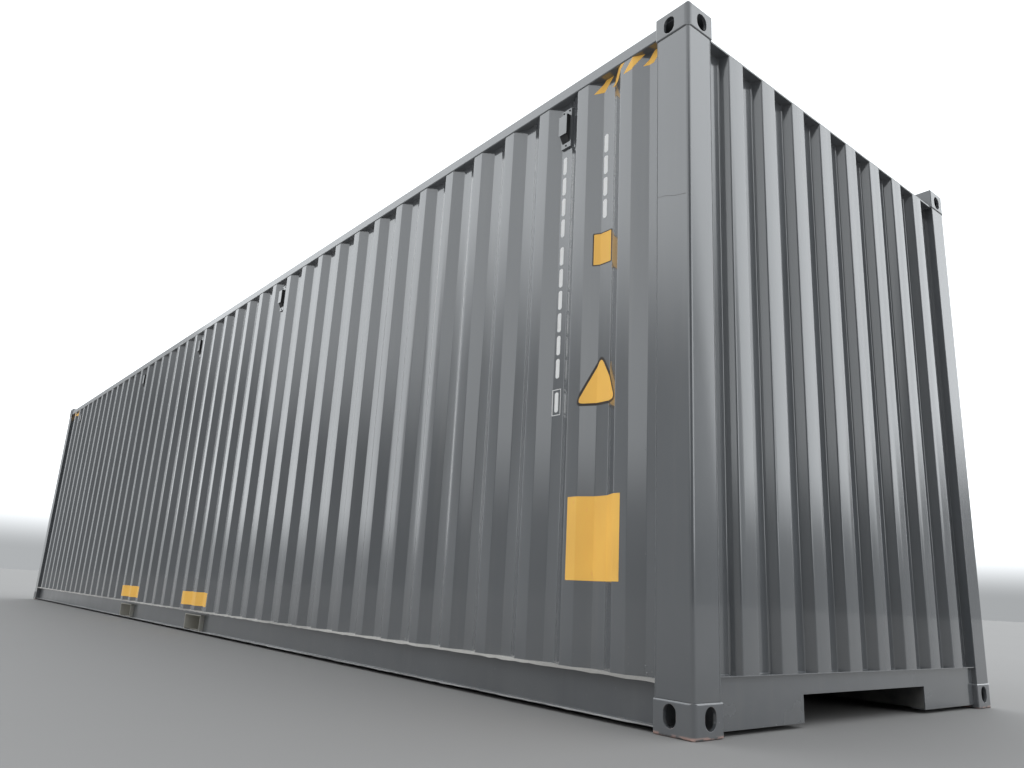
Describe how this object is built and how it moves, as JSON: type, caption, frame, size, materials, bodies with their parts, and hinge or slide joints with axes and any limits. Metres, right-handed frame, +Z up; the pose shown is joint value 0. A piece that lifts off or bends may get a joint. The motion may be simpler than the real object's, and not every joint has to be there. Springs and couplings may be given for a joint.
{
  "type": "40 ft high cube shipping container",
  "caption": "Closed corrugated steel freight box with slotted corner castings, fork pockets, a gooseneck tunnel and shut double doors at one end.",
  "frame": {"origin": "middle of the underside, at the level of the corner castings' lower faces", "axes": "+Z up; +X towards the blind front wall, -X towards the doors; +Y to the left as seen from the doors"},
  "size_m": [12.192, 2.438, 2.896],
  "materials": {
    "casting_steel": "semi-gloss anthracite paint, chipped at the lower edges",
    "post_steel": "semi-gloss anthracite paint, lightly scratched",
    "frame_steel": "semi-gloss anthracite paint",
    "top_rail_steel": "semi-gloss anthracite paint, paler with dust",
    "bottom_rail_steel": "semi-gloss anthracite paint, worn bright on the upper lip",
    "wall_steel": "semi-gloss anthracite paint on corrugated sheet",
    "roof_steel": "semi-gloss anthracite paint, dusty",
    "under_steel": "matt dark underside coating",
    "door_steel": "semi-gloss anthracite paint",
    "zinc_steel": "galvanised steel, dull",
    "vent_steel": "semi-gloss paint, paler than the walls",
    "gasket_rubber": "matt black rubber",
    "plywood": "sealed plywood"
  },
  "bodies": {
    "root": {"casting_front_left_top": "casting_steel", "casting_front_left_bottom": "casting_steel", "casting_front_right_top": "casting_steel", "casting_front_right_bottom": "casting_steel", "casting_door_left_top": "casting_steel", "casting_door_left_bottom": "casting_steel", "casting_door_right_top": "casting_steel", "casting_door_right_bottom": "casting_steel", "front_post_left": "post_steel", "front_post_right": "post_steel", "door_post_left": "post_steel", "door_post_right": "post_steel", "front_header": "frame_steel", "front_sill": "frame_steel", "door_header": "frame_steel", "door_sill": "frame_steel", "top_rail_left": "top_rail_steel", "top_rail_right": "top_rail_steel", "bottom_rail_left": "bottom_rail_steel", "bottom_rail_right": "bottom_rail_steel", "side_wall_left": "wall_steel", "side_wall_right": "wall_steel", "front_wall": "wall_steel", "roof": "roof_steel", "floor_boards": "plywood", "cross_members": "under_steel", "gooseneck_tunnel": "under_steel", "fork_pockets": "under_steel", "door_frame_left": "door_steel", "door_frame_right": "door_steel", "door_panel_left": "door_steel", "door_panel_right": "door_steel", "door_hinges_left": "door_steel", "door_hinges_right": "door_steel", "lock_rods_left": "zinc_steel", "lock_rods_right": "zinc_steel", "lock_handles_left": "zinc_steel", "lock_handles_right": "zinc_steel", "cam_keepers": "zinc_steel", "door_gasket": "gasket_rubber", "ventilators_left": "vent_steel", "ventilators_right": "vent_steel"}
  },
  "joints": []
}
